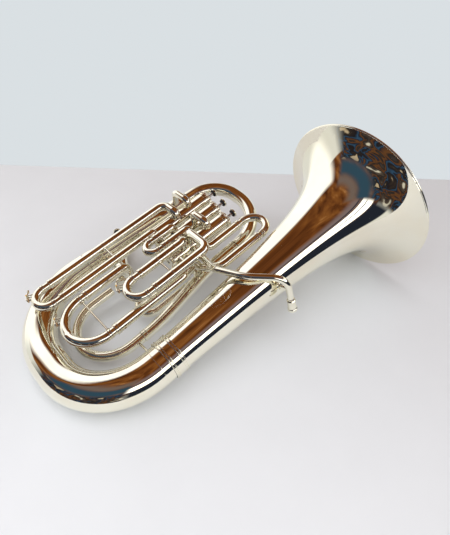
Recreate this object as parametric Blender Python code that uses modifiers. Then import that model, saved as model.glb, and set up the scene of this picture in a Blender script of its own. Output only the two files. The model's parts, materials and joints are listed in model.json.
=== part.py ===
"""A silver-plated compensating euphonium with three top valves and one side valve, lying on its back.

Lengths are given in millimetres in the instrument's own frame and scaled by MM.  In that frame the
bell's axis is the Y axis with the mouth at y = 0, X runs towards the bell from the valves and Z
points out of the front of the instrument.  The empty "lay" turns that frame into the world, where
the instrument rests on its bell rim and its bottom bow.
"""
import math

import bmesh
import bpy
from mathutils import Matrix, Vector

MM = 0.001
GAP = 0.4                      # air left between touching pieces
BEND_STEP = 22.5               # degrees of a bend between two points of its line
COLLAR_START = 0.31            # from the end of a pipe to its first collar

# How the instrument lies
TILT = 11.35                   # degrees that the bell end is raised
ROLL = 0.75                    # degrees that the bell side is raised
MOUTH_X = 107.24               # world place of the centre of the bell's mouth
MOUTH_Y = 288.5
MOUTH_Z = 148.44

# Bell: a Bessel horn, radius = mouth radius * (offset / (offset + depth)) ** flare
BELL_MOUTH_R = 150.0
BELL_LENGTH = 450.0
BELL_OFFSET = 29.1
BELL_FLARE = 0.57
BELL_WALL = 1.0
TUBE_WALL = 1.2                # of the wide branches
RIM_WIRE_R = 2.1

# Valves, measured down their axis from the top of the top cap
VALVE_LENGTH = 140.0
CASING_R = 14.5
CASING_BORE_R = 11.4
CAP_R = 16.0
CAP_DISC = 2.6
CAP_SKIRT = 9.0
PISTON_R = 11.0
PISTON_TOP = 8.0
PISTON_BOTTOM = 109.0
STEM_R = 3.0
STEM_TOP = -17.0
PORT_R = 6.0
BUTTON_R = 8.5
SPRING_R = 7.6
SPRING_WIRE_R = 0.8
SPRING_TURNS = 5

# Slides: outer sleeves with inner legs that run in them
SLEEVE_R = 8.0
SLEEVE_BORE_R = 6.9
LEG_R = 6.5
CROOK_R = 7.4
MAIN_SLEEVE_R = 8.8
MAIN_BORE_R = 7.7
MAIN_LEG_R = 7.3
MAIN_CROOK_R = 8.0
FERRULE_LENGTH = 7.0
FERRULE_STEP = 0.9

SILVER = (0.86, 0.84, 0.79, 1.0)
PEARL = (0.80, 0.78, 0.74, 1.0)
STEEL = (0.62, 0.63, 0.65, 1.0)


def start_scene():
    """Empty the scene and make the two collections and the empty that lays the instrument down."""
    for item in list(bpy.data.objects):
        bpy.data.objects.remove(item, do_unlink=True)
    parts = bpy.data.collections.new("euphonium")
    cutters = bpy.data.collections.new("cutters")
    bpy.context.scene.collection.children.link(parts)
    bpy.context.scene.collection.children.link(cutters)
    lay = bpy.data.objects.new("lay", None)
    lay.location = (MOUTH_X * MM, MOUTH_Y * MM, MOUTH_Z * MM)
    turn = Matrix.Rotation(math.radians(TILT), 3, "X") @ Matrix.Rotation(math.radians(-ROLL), 3, "Y")
    lay.rotation_euler = turn.to_euler()
    parts.objects.link(lay)
    return parts, cutters, lay


PARTS, CUTTERS, LAY = start_scene()


def material(name, colour, roughness, metallic):
    """A Principled material of one colour."""
    made = bpy.data.materials.new(name)
    made.use_nodes = True
    shader = made.node_tree.nodes["Principled BSDF"]
    shader.inputs["Base Color"].default_value = colour
    shader.inputs["Roughness"].default_value = roughness
    shader.inputs["Metallic"].default_value = metallic
    return made


SURFACES = {
    "silver": (SILVER, 0.06, 1.0),
    "pearl": (PEARL, 0.25, 0.0),
    "steel": (STEEL, 0.3, 1.0),
}


def add_part(name, data, surface, place=None, axis=None):
    """Put a mesh or curve in the collection, standing with its Z along axis in the lay frame."""
    part = bpy.data.objects.new(name, data)
    part.parent = LAY
    if place is not None:
        part.location = Vector(place) * MM
    if axis is not None:
        part.rotation_mode = "QUATERNION"
        part.rotation_quaternion = Vector(axis).to_track_quat("Z", "Y")
    data.materials.append(material(name + "_finish", *SURFACES[surface]))
    PARTS.objects.link(part)
    return part


def arc(before, corner, after, radius):
    """Points of a round bend of the given radius in place of a corner."""
    way_in = (corner - before).normalized()
    way_out = (after - corner).normalized()
    turn = way_in.angle(way_out)
    if turn < 0.01 or radius <= 0.0:
        return [corner]
    reach = radius * math.tan(turn / 2)
    handle = radius * 4 / 3 * math.tan(turn / 4)
    first = corner - way_in * reach
    last = corner + way_out * reach
    steps = max(2, math.ceil(math.degrees(turn) / BEND_STEP))
    points = []
    for step in range(steps + 1):
        t = step / steps
        weights = ((1 - t) ** 3, 3 * t * (1 - t) ** 2, 3 * t ** 2 * (1 - t), t ** 3)
        knots = (first, first + way_in * handle, last - way_out * handle, last)
        points.append(sum((knot * weight for knot, weight in zip(knots, weights)), Vector()))
    return points


def route(corners):
    """The line through (x, y, z, bend radius) corners with round bends; the ends have no bend."""
    places = [Vector(corner[:3]) for corner in corners]
    points = [places[0]]
    for before, this, after, corner in zip(places, places[1:], places[2:], corners[1:]):
        points += arc(before, this, after, corner[3])
    points.append(places[-1])
    return points


def lengths(points):
    """Distance of each point along the line."""
    along = [0.0]
    for first, second in zip(points, points[1:]):
        along.append(along[-1] + (second - first).length)
    return along


def place_at(points, along, distance):
    """The point at a distance along the line."""
    for index in range(1, len(points)):
        if distance <= along[index]:
            share = (distance - along[index - 1]) / (along[index] - along[index - 1])
            return points[index - 1].lerp(points[index], share)
    return points[-1]


def taper(stops, distance):
    """Radius at a distance, straight between (distance, radius) stops."""
    for (near, near_r), (far, far_r) in zip(stops, stops[1:]):
        if distance <= far:
            return near_r + (far_r - near_r) * (distance - near) / (far - near)
    return stops[-1][1]


def pipe_curve(name, corners, radii, sides=8, collars=()):
    """Curve of a round pipe.  radii are spread evenly along it; collars are (start, length, step)."""
    points = route(corners)
    along = lengths(points)
    total = along[-1]
    stops = [(total * index / (len(radii) - 1), radius) for index, radius in enumerate(radii)]
    marks = [(distance, 0.0) for distance in along]
    for start, length, step in collars:
        low = start if start >= 0 else total + start
        high = low + length
        marks = [(distance, step if low < distance < high else extra) for distance, extra in marks
                 if min(abs(distance - low), abs(distance - high)) > 0.6]
        marks += [(low - 0.3, 0.0), (low, step), (high, step), (high + 0.3, 0.0)]
    marks = sorted(mark for mark in marks if -0.01 <= mark[0] <= total + 0.01)
    curve = bpy.data.curves.new(name, "CURVE")
    curve.dimensions = "3D"
    curve.bevel_depth = MM
    curve.bevel_resolution = (sides - 4) // 2
    curve.use_fill_caps = True
    spline = curve.splines.new("POLY")
    spline.points.add(len(marks) - 1)
    for knot, (distance, extra) in zip(spline.points, marks):
        place = place_at(points, along, distance) * MM
        knot.co = (*place, 1.0)
        knot.radius = taper(stops, distance) + extra
    spline.use_smooth = True
    return curve


def pipe(name, corners, radii, surface="silver", sides=8, collars=()):
    """A round pipe, closed at its ends."""
    return add_part(name, pipe_curve(name, corners, radii, sides, collars), surface)


def hollow_pipe(name, corners, radii, sides=12, collars=()):
    """A thin-walled pipe, open at its ends."""
    part = pipe(name, corners, radii, "silver", sides, collars)
    part.data.use_fill_caps = False
    shell = part.modifiers.new("wall", "SOLIDIFY")
    shell.thickness = TUBE_WALL * MM
    shell.offset = -1.0
    return part


def as_mesh(part):
    """Turn a curve object into a mesh object of the same name and place."""
    bpy.context.view_layer.update()
    mesh = bpy.data.meshes.new_from_object(part.evaluated_get(bpy.context.evaluated_depsgraph_get()))
    weld = bmesh.new()
    weld.from_mesh(mesh)
    bmesh.ops.remove_doubles(weld, verts=weld.verts, dist=0.00001)
    bmesh.ops.recalc_face_normals(weld, faces=weld.faces)
    weld.to_mesh(mesh)
    weld.free()
    name = part.name
    solid = bpy.data.objects.new(name + "_solid", mesh)
    solid.parent = LAY
    solid.matrix_parent_inverse = part.matrix_parent_inverse
    solid.matrix_local = part.matrix_local
    PARTS.objects.link(solid)
    bpy.data.objects.remove(part, do_unlink=True)
    solid.name = name
    mesh.name = name
    return solid


def rod(first, second, radius, sides=14):
    """A cutter or a piece to join: a plain cylinder between two points."""
    start = Vector(first)
    line = Vector(second) - start
    mesh = bpy.data.meshes.new("rod")
    shape = bmesh.new()
    bmesh.ops.create_cone(shape, cap_ends=True, segments=sides, radius1=radius * MM,
                          radius2=radius * MM, depth=line.length * MM)
    shape.to_mesh(mesh)
    shape.free()
    tool = bpy.data.objects.new("rod", mesh)
    tool.parent = LAY
    tool.location = (start + line / 2) * MM
    tool.rotation_mode = "QUATERNION"
    tool.rotation_quaternion = line.to_track_quat("Z", "Y")
    tool.hide_render = True
    tool.display_type = "WIRE"
    CUTTERS.objects.link(tool)
    return tool


def combine(part, tool, operation):
    """Cut a tool out of a part, or join it on."""
    change = part.modifiers.new(operation.lower(), "BOOLEAN")
    change.operation = operation
    change.solver = "EXACT"
    change.object = tool


def smooth(part, angle=35):
    """Shade a mesh smooth except at its sharp edges."""
    part.data.shade_smooth()
    part.data.set_sharp_from_angle(angle=math.radians(angle))


def turned(name, profile, surface, place, axis, steps=24, closed=True, wall=None):
    """A turned piece from (radius, height) points that run down its outer side."""
    mesh = bpy.data.meshes.new(name)
    shape = bmesh.new()
    knots = [shape.verts.new((radius * MM, 0.0, height * MM)) for radius, height in profile]
    for first, second in zip(knots, knots[1:]):
        shape.edges.new((first, second))
    if closed:
        shape.edges.new((knots[-1], knots[0]))
    shape.to_mesh(mesh)
    shape.free()
    part = add_part(name, mesh, surface, place, axis)
    screw = part.modifiers.new("turn", "SCREW")
    screw.steps = steps
    screw.render_steps = steps
    screw.use_merge_vertices = True
    screw.merge_threshold = 0.00001
    screw.use_smooth_shade = True
    if wall is not None:
        shell = part.modifiers.new("wall", "SOLIDIFY")
        shell.thickness = wall * MM
        shell.offset = -1.0
    return part


# ---------------------------------------------------------------- bell, bows and branches

def bell_radius(depth):
    """Outer radius of the bell at a depth behind its mouth."""
    return BELL_MOUTH_R * (BELL_OFFSET / (BELL_OFFSET + depth)) ** BELL_FLARE


def make_bell():
    """The bell's shell, the wire rolled in its rim and the ferrule at its tail."""
    rings = 13
    depths = [BELL_LENGTH * (index / rings) ** 2.1 for index in range(rings + 1)]
    profile = [(bell_radius(depth), -depth) for depth in depths]
    turned("bell", profile, "silver", (0, 0, 0), (0, 1, 0), 40, False, BELL_WALL)
    bead_z = RIM_WIRE_R + GAP + BELL_WALL
    bead = [(BELL_MOUTH_R + RIM_WIRE_R * math.cos(angle), bead_z + RIM_WIRE_R * math.sin(angle))
            for angle in (math.radians(90 - 60 * index) for index in range(6))]
    turned("bell_rim_wire", bead, "silver", (0, 0, 0), (0, 1, 0), 40)
    ring = [(32.6, 12.0), (33.6, 12.0), (33.6, 8.0), (32.9, 7.5), (32.9, -7.5), (34.0, -8.0), (34.0, -12.0),
            (32.6, -12.0)]
    inner = [(31.8, -12.0), (31.8, 12.0)]
    turned("bell_ferrule", ring + inner, "silver", (0, -BELL_LENGTH, 0), (0, 1, 0), 24)


BOTTOM_BOW = [(0, -450.5, 0), (0, -594, 0, 114), (-275, -594, 0, 134), (-275, -440, 0)]
OUTER_BRANCH = [(-275, -438.6, 0), (-265, -262, 0, 900), (-264, -201.6, 0)]
TOP_BOW = [(-264, -200, 0), (-264, -122, -4, 62), (-104, -122, -18, 88), (-104, -215, -20)]
INNER_BRANCH = [(-104, -216.6, -20), (-102, -290, -20, 300), (-77, -420, -20, 300), (-77, -456, -20)]
SMALL_BOW = [(-77, -456.5, -20), (-77, -541, -20, 63), (-203, -541, -20, 63), (-203, -437, -20)]


def make_branches():
    """The wide tubes that carry the air from the valves to the bell."""
    hollow_pipe("bottom_bow", BOTTOM_BOW, (30.6, 31.0, 30.4, 27.0, 23.0))
    hollow_pipe("outer_branch", OUTER_BRANCH, (22.4, 14.6), collars=[(COLLAR_START, 16, 1.3), (-9, 8.6, 0.9)])
    hollow_pipe("top_bow", TOP_BOW, (13.9, 13.3, 12.3))
    hollow_pipe("inner_branch", INNER_BRANCH, (12.1, 9.6), 10, [(COLLAR_START, 8, 0.9), (-9, 8.6, 0.9)])
    hollow_pipe("small_bow", SMALL_BOW, (9.2, 8.6, 8.2), 10)


# ---------------------------------------------------------------- leadpipe

LEADPIPE = [(-124.2, -290, 24), (-88, -296, 28, 30), (-50, -306, 40, 40), (10, -288, 50.5, 60),
            (59, -245, 46, 28), (66, -247.5, -2)]
RECEIVER_LENGTH = 24.0
RECEIVER_R = 7.4
RECEIVER_BORE_R = 5.6
BRACE_FOOT = (42.9, -248, 15.0)
BRACE_HEAD = (56.8, -248, 21.6)


def make_leadpipe():
    """The leadpipe over the bell, its mouthpiece receiver and the post that holds it."""
    pipe("leadpipe", LEADPIPE, (6.4, 5.6, 5.6), sides=10)
    end = Vector(LEADPIPE[-1][:3])
    way = (end - Vector(LEADPIPE[-2][:3])).normalized()
    start = end + way * GAP
    profile = [(RECEIVER_R - 0.6, 0.0), (RECEIVER_R, -2.0), (RECEIVER_R, -RECEIVER_LENGTH + 5),
               (RECEIVER_R + 0.9, -RECEIVER_LENGTH + 4), (RECEIVER_R + 0.9, -RECEIVER_LENGTH),
               (RECEIVER_BORE_R, -RECEIVER_LENGTH), (RECEIVER_BORE_R - 0.8, 0.0)]
    turned("mouthpiece_receiver", profile, "silver", start, -way, 24)
    pipe("leadpipe_brace", [BRACE_FOOT, BRACE_HEAD], (2.0, 2.0), sides=8, collars=[(COLLAR_START, 1.6, 4.0)])


# ---------------------------------------------------------------- valves

SIDE_ANGLE = 28.8
SIDE_VALVE_Z = -50.14
SIDE_AXIS = (-math.cos(math.radians(SIDE_ANGLE)), math.sin(math.radians(SIDE_ANGLE)), 0.0)
# Valve number: (place of the top of its cap, way its button points)
VALVES = {
    1: (Vector((-139.5, -199.0, 20.0)), Vector((0, 1, 0))),
    2: (Vector((-176.0, -191.0, 20.0)), Vector((0, 1, 0))),
    3: (Vector((-212.5, -183.0, 20.0)), Vector((0, 1, 0))),
    4: (Vector((-222.5, -410.1, SIDE_VALVE_Z)) + Vector(SIDE_AXIS) * VALVE_LENGTH, Vector(SIDE_AXIS)),
}


def make_piston(number, top, axis):
    """A piston with its stem and two cross ports."""
    profile = [(0.0, -STEM_TOP), (STEM_R, -STEM_TOP), (STEM_R, -PISTON_TOP), (PISTON_R, -PISTON_TOP),
               (PISTON_R, -PISTON_BOTTOM), (0.0, -PISTON_BOTTOM)]
    part = turned("piston_%d" % number, profile, "steel", top, axis, 20, False)
    across = axis.cross(Vector((0, 0, 1))).normalized()
    for depth, lean in ((45.0, 4.0), (78.0, -5.0)):
        middle = top - axis * depth
        offset = axis * lean
        reach = across * 14 + offset
        combine(part, rod(middle - reach, middle + reach, PORT_R, 12), "DIFFERENCE")


def make_spring(number, top, axis):
    """The coil spring under the piston."""
    low = VALVE_LENGTH - CAP_DISC - SPRING_WIRE_R - GAP
    high = PISTON_BOTTOM + SPRING_WIRE_R + GAP
    across = axis.cross(Vector((0, 0, 1))).normalized()
    upward = across.cross(axis)
    curve = bpy.data.curves.new("valve_spring", "CURVE")
    curve.dimensions = "3D"
    curve.bevel_depth = SPRING_WIRE_R * MM
    curve.bevel_resolution = 0
    curve.use_fill_caps = True
    spline = curve.splines.new("POLY")
    steps = SPRING_TURNS * 8
    spline.points.add(steps)
    for index, knot in enumerate(spline.points):
        angle = 2 * math.pi * SPRING_TURNS * index / steps
        depth = high + (low - high) * index / steps
        round_part = (across * math.cos(angle) + upward * math.sin(angle)) * SPRING_R
        knot.co = (*((top - axis * depth + round_part) * MM), 1.0)
    spline.use_smooth = True
    add_part("valve_spring_%d" % number, curve, "steel")


def make_valve(number, top, axis):
    """Casing, two screw caps, piston, spring and finger button of one valve."""
    casing = [(CASING_R, -CAP_DISC - GAP), (CASING_R, -VALVE_LENGTH + CAP_DISC + GAP),
              (CASING_BORE_R, -VALVE_LENGTH + CAP_DISC + GAP), (CASING_BORE_R, -CAP_DISC - GAP)]
    turned("casing_%d" % number, casing, "silver", top, axis, 20)
    skirt_r = CASING_R + GAP
    cap = [(CAP_R - 5.0, 1.2), (CAP_R - 1.0, 0.0), (CAP_R, -1.0), (CAP_R, -CAP_SKIRT),
           (skirt_r, -CAP_SKIRT), (skirt_r, -CAP_DISC), (STEM_R + GAP, -CAP_DISC), (STEM_R + GAP, 1.2)]
    turned("top_cap_%d" % number, cap, "silver", top, axis, 20)
    floor = VALVE_LENGTH
    cup = [(skirt_r, -floor + CAP_SKIRT), (CAP_R, -floor + CAP_SKIRT), (CAP_R, -floor + 1.0),
           (CAP_R - 1.0, -floor), (0.0, -floor), (0.0, -floor + CAP_DISC), (skirt_r, -floor + CAP_DISC)]
    turned("bottom_cap_%d" % number, cup, "silver", top, axis, 20)
    make_piston(number, top, axis)
    make_spring(number, top, axis)
    rise = -STEM_TOP + GAP
    button = [(0.0, rise + 3.4), (BUTTON_R - 2.2, rise + 3.7), (BUTTON_R, rise + 2.8), (BUTTON_R, rise + 1.2),
              (BUTTON_R - 2.0, rise), (0.0, rise)]
    turned("finger_button_%d" % number, button, "pearl", top, axis, 20, False)


def make_valves():
    """All four valves, the knuckles between them and the tubes that cross them."""
    for number, (top, axis) in VALVES.items():
        make_valve(number, top, axis)
    for low, high in ((1, 2), (2, 3)):
        start = VALVES[low][0].x - CASING_R - GAP
        end = VALVES[high][0].x + CASING_R + GAP
        pipe("knuckle_%d%d" % (low, high), [(start, -236, 20), (end, -236, 20)], (8.0, 8.0), sides=12)
    make_links()


BACK = VALVES[1][0].z - CASING_R - GAP           # height of a pipe's end on the back of a casing
FRONT = VALVES[1][0].z + CASING_R + GAP          # height of a pipe's end on the front of a casing
SIDE = VALVES[1][0].x + CASING_R + GAP           # x of a pipe's end on the bell side of valve 1
FRONT_LINK = [(-176, -243, FRONT), (-176, -243, 45, 9), (-139.5, -243, 45, 9), (-139.5, -243, FRONT)]
BACK_LOOP = [(-139.5, -224, BACK), (-139.5, -224, -22, 15), (-139.5, -254, -22, 15), (-139.5, -254, BACK)]
BACK_BOW = [(-139.5, -296, BACK), (-139.5, -296, -36, 12), (-114, -304, -36, 12), (-114, -424, -36, 23),
            (-160, -424, -36, 23), (-160, -300, -36, 10), (-176, -292, -36, 10), (-176, -292, BACK)]


def make_links():
    """The tube across the front of two casings and the compensating tubes behind them."""
    pipe("front_link", FRONT_LINK, (7.0, 7.0), sides=10)
    pipe("compensating_loop", BACK_LOOP, (6.2, 6.2), sides=10)
    pipe("compensating_bow", BACK_BOW, (7.0, 7.0), sides=10)


# ---------------------------------------------------------------- slides

# Sleeve: its route from the open end.
SLEEVES = {
    "slide_1_tube_left": [(-109, -194, 20), (-109, -270, 20, 10), (SIDE, -270, 20)],
    "slide_1_tube_right": [(-59, -194, 20), (-59, -286, 20, 18), (-96, -303, 5, 18), (SIDE, -303, 5)],
    "slide_2_tube_left": [(-180, -334, 45), (-180, -290, 45, 9), (-180, -290, FRONT)],
    "slide_2_tube_right": [(-152, -334, 45), (-152, -274, 45, 9), (-152, -274, FRONT)],
    "slide_3_tube_left": [(-119, -404, 62), (-119, -305.5, 62, 12), (-134, -305.5, 52, 6),
                          (-134, -305.5, FRONT)],
    "slide_3_tube_right": [(-76, -404, 62), (-76, -290, 62, 15), (-134, -286, 58, 12), (-134, -286, FRONT)],
    "slide_4_tube_left": [(-243, -518, 44), (-243, -262, 44, 16), (-206, -262, 44, 8), (-206, -262, FRONT)],
    "slide_4_tube_right": [(-198, -518, 44), (-198, -321, 44, 8), (-198, -321, FRONT)],
}
MAIN_SLEEVES = {
    "main_tube_left": [(-174, -488, 40), (-174, -402, 40, 12), (-176, -400, 6, 14), (-240, -400.5, 2, 14),
                       (-240, -400.5, SIDE_VALVE_Z + CASING_R + GAP + 0.1)],
    "main_tube_right": [(-77, -488, 40), (-77, -350, 40, 18), (-98, -321, 20, 12), (SIDE, -320, 20)],
}
BORE_DEPTHS = {"slide_1": 60, "slide_2": 33, "slide_3": 66, "slide_4": 150, "main": 70}


def make_sleeve(name, corners, outer_r, bore_r, depth):
    """A fixed slide tube with a ferrule at its open end, bored to take a slide's leg."""
    ferrule = (COLLAR_START, FERRULE_LENGTH, FERRULE_STEP)
    part = as_mesh(pipe(name, corners, (outer_r, outer_r), sides=10, collars=[ferrule]))
    mouth = Vector(corners[0])
    way = (Vector(corners[1][:3]) - mouth).normalized()
    combine(part, rod(mouth - way * 2, mouth + way * depth, bore_r), "DIFFERENCE")
    smooth(part)


# Slide: (left x, right x, z, y of the bow's centre, +1 when the bow points to the bell, leg length)
CROOKS = {
    "slide_1_crook": (-109, -59, 20, -184.5, 1, 55),
    "slide_2_crook": (-180, -152, 45, -343.5, -1, 30),
    "slide_3_crook": (-119, -76, 62, -416.5, -1, 62),
    "slide_4_crook": (-243, -198, 44, -530, -1, 140),
    "main_slide_crook": (-174, -77, 40, -497, -1, 66),
}
KEY_ANGLE = 236.0              # where a water key sits round a bow, in degrees from +X
KEY_TANGENT = 9.0              # from its nipple to its pivot
KEY_ARM = 23.0
KEYS = {"slide_3_crook": 1, "slide_4_crook": 2, "main_slide_crook": 3}


def key_frame(crook):
    """Place on the bow's centre line, way out and way along for a water key."""
    left, right, height, bow_y = CROOKS[crook][:4]
    angle = math.radians(KEY_ANGLE)
    out = Vector((math.cos(angle), math.sin(angle), 0.0))
    along = Vector((-math.sin(angle), math.cos(angle), 0.0))
    middle = Vector(((left + right) / 2, bow_y, height))
    return middle + out * (right - left) / 2, out, -along


def make_crook(name, leg_r, bow_r):
    """A slide's U: two legs that run in the sleeves, a ferrule on each, and the bow between them."""
    left, right, height, bow_y, way, leg = CROOKS[name]
    half = (right - left) / 2
    far = bow_y - way * leg
    crown = bow_y + way * half
    corners = [(left, far, height), (left, crown, height, half), (right, crown, height, half),
               (right, far, height)]
    bow_step = bow_r - leg_r
    total = 2 * leg + math.pi * half
    neck = leg - 3.0
    collars = [(neck, total - 2 * neck, bow_step)]
    part = pipe(name, corners, (leg_r, leg_r), sides=10, collars=collars)
    if name not in KEYS:
        return
    part = as_mesh(part)
    seat, out, along = key_frame(name)
    nipple = seat + out * (bow_r - 1.5)
    combine(part, rod(nipple, seat + out * (bow_r + 4.0), 2.6, 12), "UNION")
    post = seat + along * KEY_TANGENT + out * (bow_r - 4.5)
    combine(part, rod(post, seat + along * KEY_TANGENT + out * (bow_r + 6.2), 1.6, 8), "UNION")
    smooth(part)


def make_key(crook, number, bow_r):
    """A water key: a cork-faced pad on the nipple and an arm over its pivot post."""
    seat, out, along = key_frame(crook)
    face = seat + out * (bow_r + 4.0 + GAP)
    knee = face + out * 4.6
    tip = knee + along * KEY_ARM
    corners = [tuple(face), (*knee, 2.5), tuple(tip)]
    pipe("water_key_%d" % number, corners, (1.5, 1.5), sides=8, collars=[(COLLAR_START, 1.8, 2.1), (-6.3, 5.9, 0.8)])


def make_slides():
    """The sleeves, crooks, braces and water keys."""
    for name, corners in SLEEVES.items():
        make_sleeve(name, corners, SLEEVE_R, SLEEVE_BORE_R, BORE_DEPTHS[name.split("_tube")[0]])
    for name, corners in MAIN_SLEEVES.items():
        make_sleeve(name, corners, MAIN_SLEEVE_R, MAIN_BORE_R, BORE_DEPTHS["main"])
    for name in CROOKS:
        is_main = name == "main_slide_crook"
        leg_r = MAIN_LEG_R if is_main else LEG_R
        bow_r = MAIN_CROOK_R if is_main else CROOK_R
        make_crook(name, leg_r, bow_r)
        if name in KEYS:
            make_key(name, KEYS[name], bow_r)
    make_braces()


BRACE_FOOT_STEP = 2.4
BRACE_FOOT_THICKNESS = 1.3
# Brace: (centre of the first tube, its radius, centre of the second tube, its radius, radius of the rod)
BRACES = {
    "slide_4_brace": ((-243, -404, 44), SLEEVE_R, (-198, -404, 44), SLEEVE_R, 2.0),
    "main_slide_brace": ((-174, -496, 40), MAIN_CROOK_R, (-77, -496, 40), MAIN_CROOK_R, 1.6),
}


def make_braces():
    """Rods with a round foot at each end, from the side of one tube to the side of another."""
    for name, (first, first_r, second, second_r, rod_r) in BRACES.items():
        start, end = Vector(first), Vector(second)
        way = (end - start).normalized()
        start += way * (first_r + GAP)
        end -= way * (second_r + GAP)
        feet = [(COLLAR_START, BRACE_FOOT_THICKNESS, BRACE_FOOT_STEP),
                (-BRACE_FOOT_THICKNESS - COLLAR_START, BRACE_FOOT_THICKNESS, BRACE_FOOT_STEP)]
        pipe(name, [tuple(start), tuple(end)], (rod_r, rod_r), collars=feet)


make_bell()
make_branches()
make_leadpipe()
make_valves()
make_slides()
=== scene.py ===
"""Looks of the silver-plated compensating euphonium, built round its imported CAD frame.

Lengths are millimetres in the instrument's own frame, as in the part's source: the bell's axis is the
Y axis with its mouth at y = 0, X runs towards the bell from the valves and Z points out of the front.
LAY turns that frame into the world, where the instrument lies on its back.
"""
import json
import math

import bmesh
import bpy
from mathutils import Matrix, Vector

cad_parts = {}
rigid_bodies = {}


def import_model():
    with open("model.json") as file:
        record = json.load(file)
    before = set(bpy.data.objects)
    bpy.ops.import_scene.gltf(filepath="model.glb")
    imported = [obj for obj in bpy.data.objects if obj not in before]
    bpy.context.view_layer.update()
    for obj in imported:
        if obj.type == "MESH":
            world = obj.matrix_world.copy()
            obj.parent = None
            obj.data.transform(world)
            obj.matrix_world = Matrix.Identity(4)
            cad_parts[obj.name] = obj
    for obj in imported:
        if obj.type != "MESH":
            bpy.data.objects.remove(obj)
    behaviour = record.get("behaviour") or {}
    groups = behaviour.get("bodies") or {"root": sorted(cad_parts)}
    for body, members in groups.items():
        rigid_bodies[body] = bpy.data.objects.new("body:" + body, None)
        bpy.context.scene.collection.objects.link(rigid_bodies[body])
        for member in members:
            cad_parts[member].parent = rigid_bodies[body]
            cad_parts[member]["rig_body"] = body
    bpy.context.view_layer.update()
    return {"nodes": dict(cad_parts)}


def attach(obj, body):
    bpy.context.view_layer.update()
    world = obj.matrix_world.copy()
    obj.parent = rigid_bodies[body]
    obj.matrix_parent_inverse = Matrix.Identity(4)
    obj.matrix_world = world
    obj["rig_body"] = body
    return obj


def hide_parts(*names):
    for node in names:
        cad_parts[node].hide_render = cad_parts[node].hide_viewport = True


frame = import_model()

MM = 0.001
LAY = (Matrix.Translation((0.10724, 0.2885, 0.14844))
       @ Matrix.Rotation(math.radians(11.35), 4, "X")
       @ Matrix.Rotation(math.radians(-0.75), 4, "Y")
       @ Matrix.Scale(MM, 4))

BEND_STEP = 5.0                # degrees of a bend between two rings
SIDES = 40                     # round a tube
GAP = 0.4                      # air between two pieces that meet
SHARP_ANGLE = 32               # degrees between two faces whose edge isn't smoothed


# ---------------------------------------------------------------- materials

def nodes_of(material):
    """The node tree of a fresh material, and its Principled shader."""
    material.use_nodes = True
    tree = material.node_tree
    return tree, tree.nodes["Principled BSDF"]


def add_noise(tree, scale, detail=3.0, roughness=0.5, stretch=(1.0, 1.0, 1.0)):
    """A noise texture in object space."""
    place = tree.nodes.new("ShaderNodeTexCoord")
    mapping = tree.nodes.new("ShaderNodeMapping")
    mapping.inputs["Scale"].default_value = stretch
    noise = tree.nodes.new("ShaderNodeTexNoise")
    noise.inputs["Scale"].default_value = scale
    noise.inputs["Detail"].default_value = detail
    noise.inputs["Roughness"].default_value = roughness
    tree.links.new(place.outputs["Object"], mapping.inputs["Vector"])
    tree.links.new(mapping.outputs["Vector"], noise.inputs["Vector"])
    return noise


def add_ramp(tree, source, stops):
    """A colour ramp read from a socket; stops are (position, colour)."""
    ramp = tree.nodes.new("ShaderNodeValToRGB")
    ramp.color_ramp.elements[0].position = stops[0][0]
    ramp.color_ramp.elements[0].color = stops[0][1]
    ramp.color_ramp.elements[1].position = stops[-1][0]
    ramp.color_ramp.elements[1].color = stops[-1][1]
    for position, colour in stops[1:-1]:
        ramp.color_ramp.elements.new(position).color = colour
    tree.links.new(source, ramp.inputs["Fac"])
    return ramp.outputs["Color"]


NOISE_LOW, NOISE_HIGH = 0.3, 0.7   # most of a noise texture lies between these values


def add_range(tree, source, low, high):
    """A noise value mapped to low..high."""
    scaled = tree.nodes.new("ShaderNodeMapRange")
    scaled.inputs["From Min"].default_value = NOISE_LOW
    scaled.inputs["From Max"].default_value = NOISE_HIGH
    scaled.inputs["To Min"].default_value = low
    scaled.inputs["To Max"].default_value = high
    tree.links.new(source, scaled.inputs["Value"])
    return scaled.outputs["Result"]


def add_bump(tree, source, strength, distance):
    """A bump read from a height socket."""
    bump = tree.nodes.new("ShaderNodeBump")
    bump.inputs["Strength"].default_value = strength
    bump.inputs["Distance"].default_value = distance
    tree.links.new(source, bump.inputs["Height"])
    return bump.outputs["Normal"]


def metal(name, light, dark, low, high, wave=0.0, grain=0.0):
    """Polished metal: two tints in soft clouds, uneven polish, slow waves and fine grain."""
    material = bpy.data.materials.new(name)
    tree, shader = nodes_of(material)
    shader.inputs["Metallic"].default_value = 1.0
    clouds = add_noise(tree, 14.0, 4.0)
    tree.links.new(add_ramp(tree, clouds.outputs["Fac"], [(0.35, dark), (0.6, light)]),
                   shader.inputs["Base Color"])
    wipes = add_noise(tree, 60.0, 3.0, 0.6, (1.0, 0.25, 1.0))
    tree.links.new(add_range(tree, wipes.outputs["Fac"], low, high), shader.inputs["Roughness"])
    if wave > 0.0:
        slow = add_noise(tree, 9.0, 1.0)
        tree.links.new(add_bump(tree, slow.outputs["Fac"], wave, 0.004), shader.inputs["Normal"])
    if grain > 0.0:
        fine = add_noise(tree, 900.0, 2.0)
        tree.links.new(add_bump(tree, fine.outputs["Fac"], grain, 0.0004), shader.inputs["Normal"])
    return material


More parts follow.
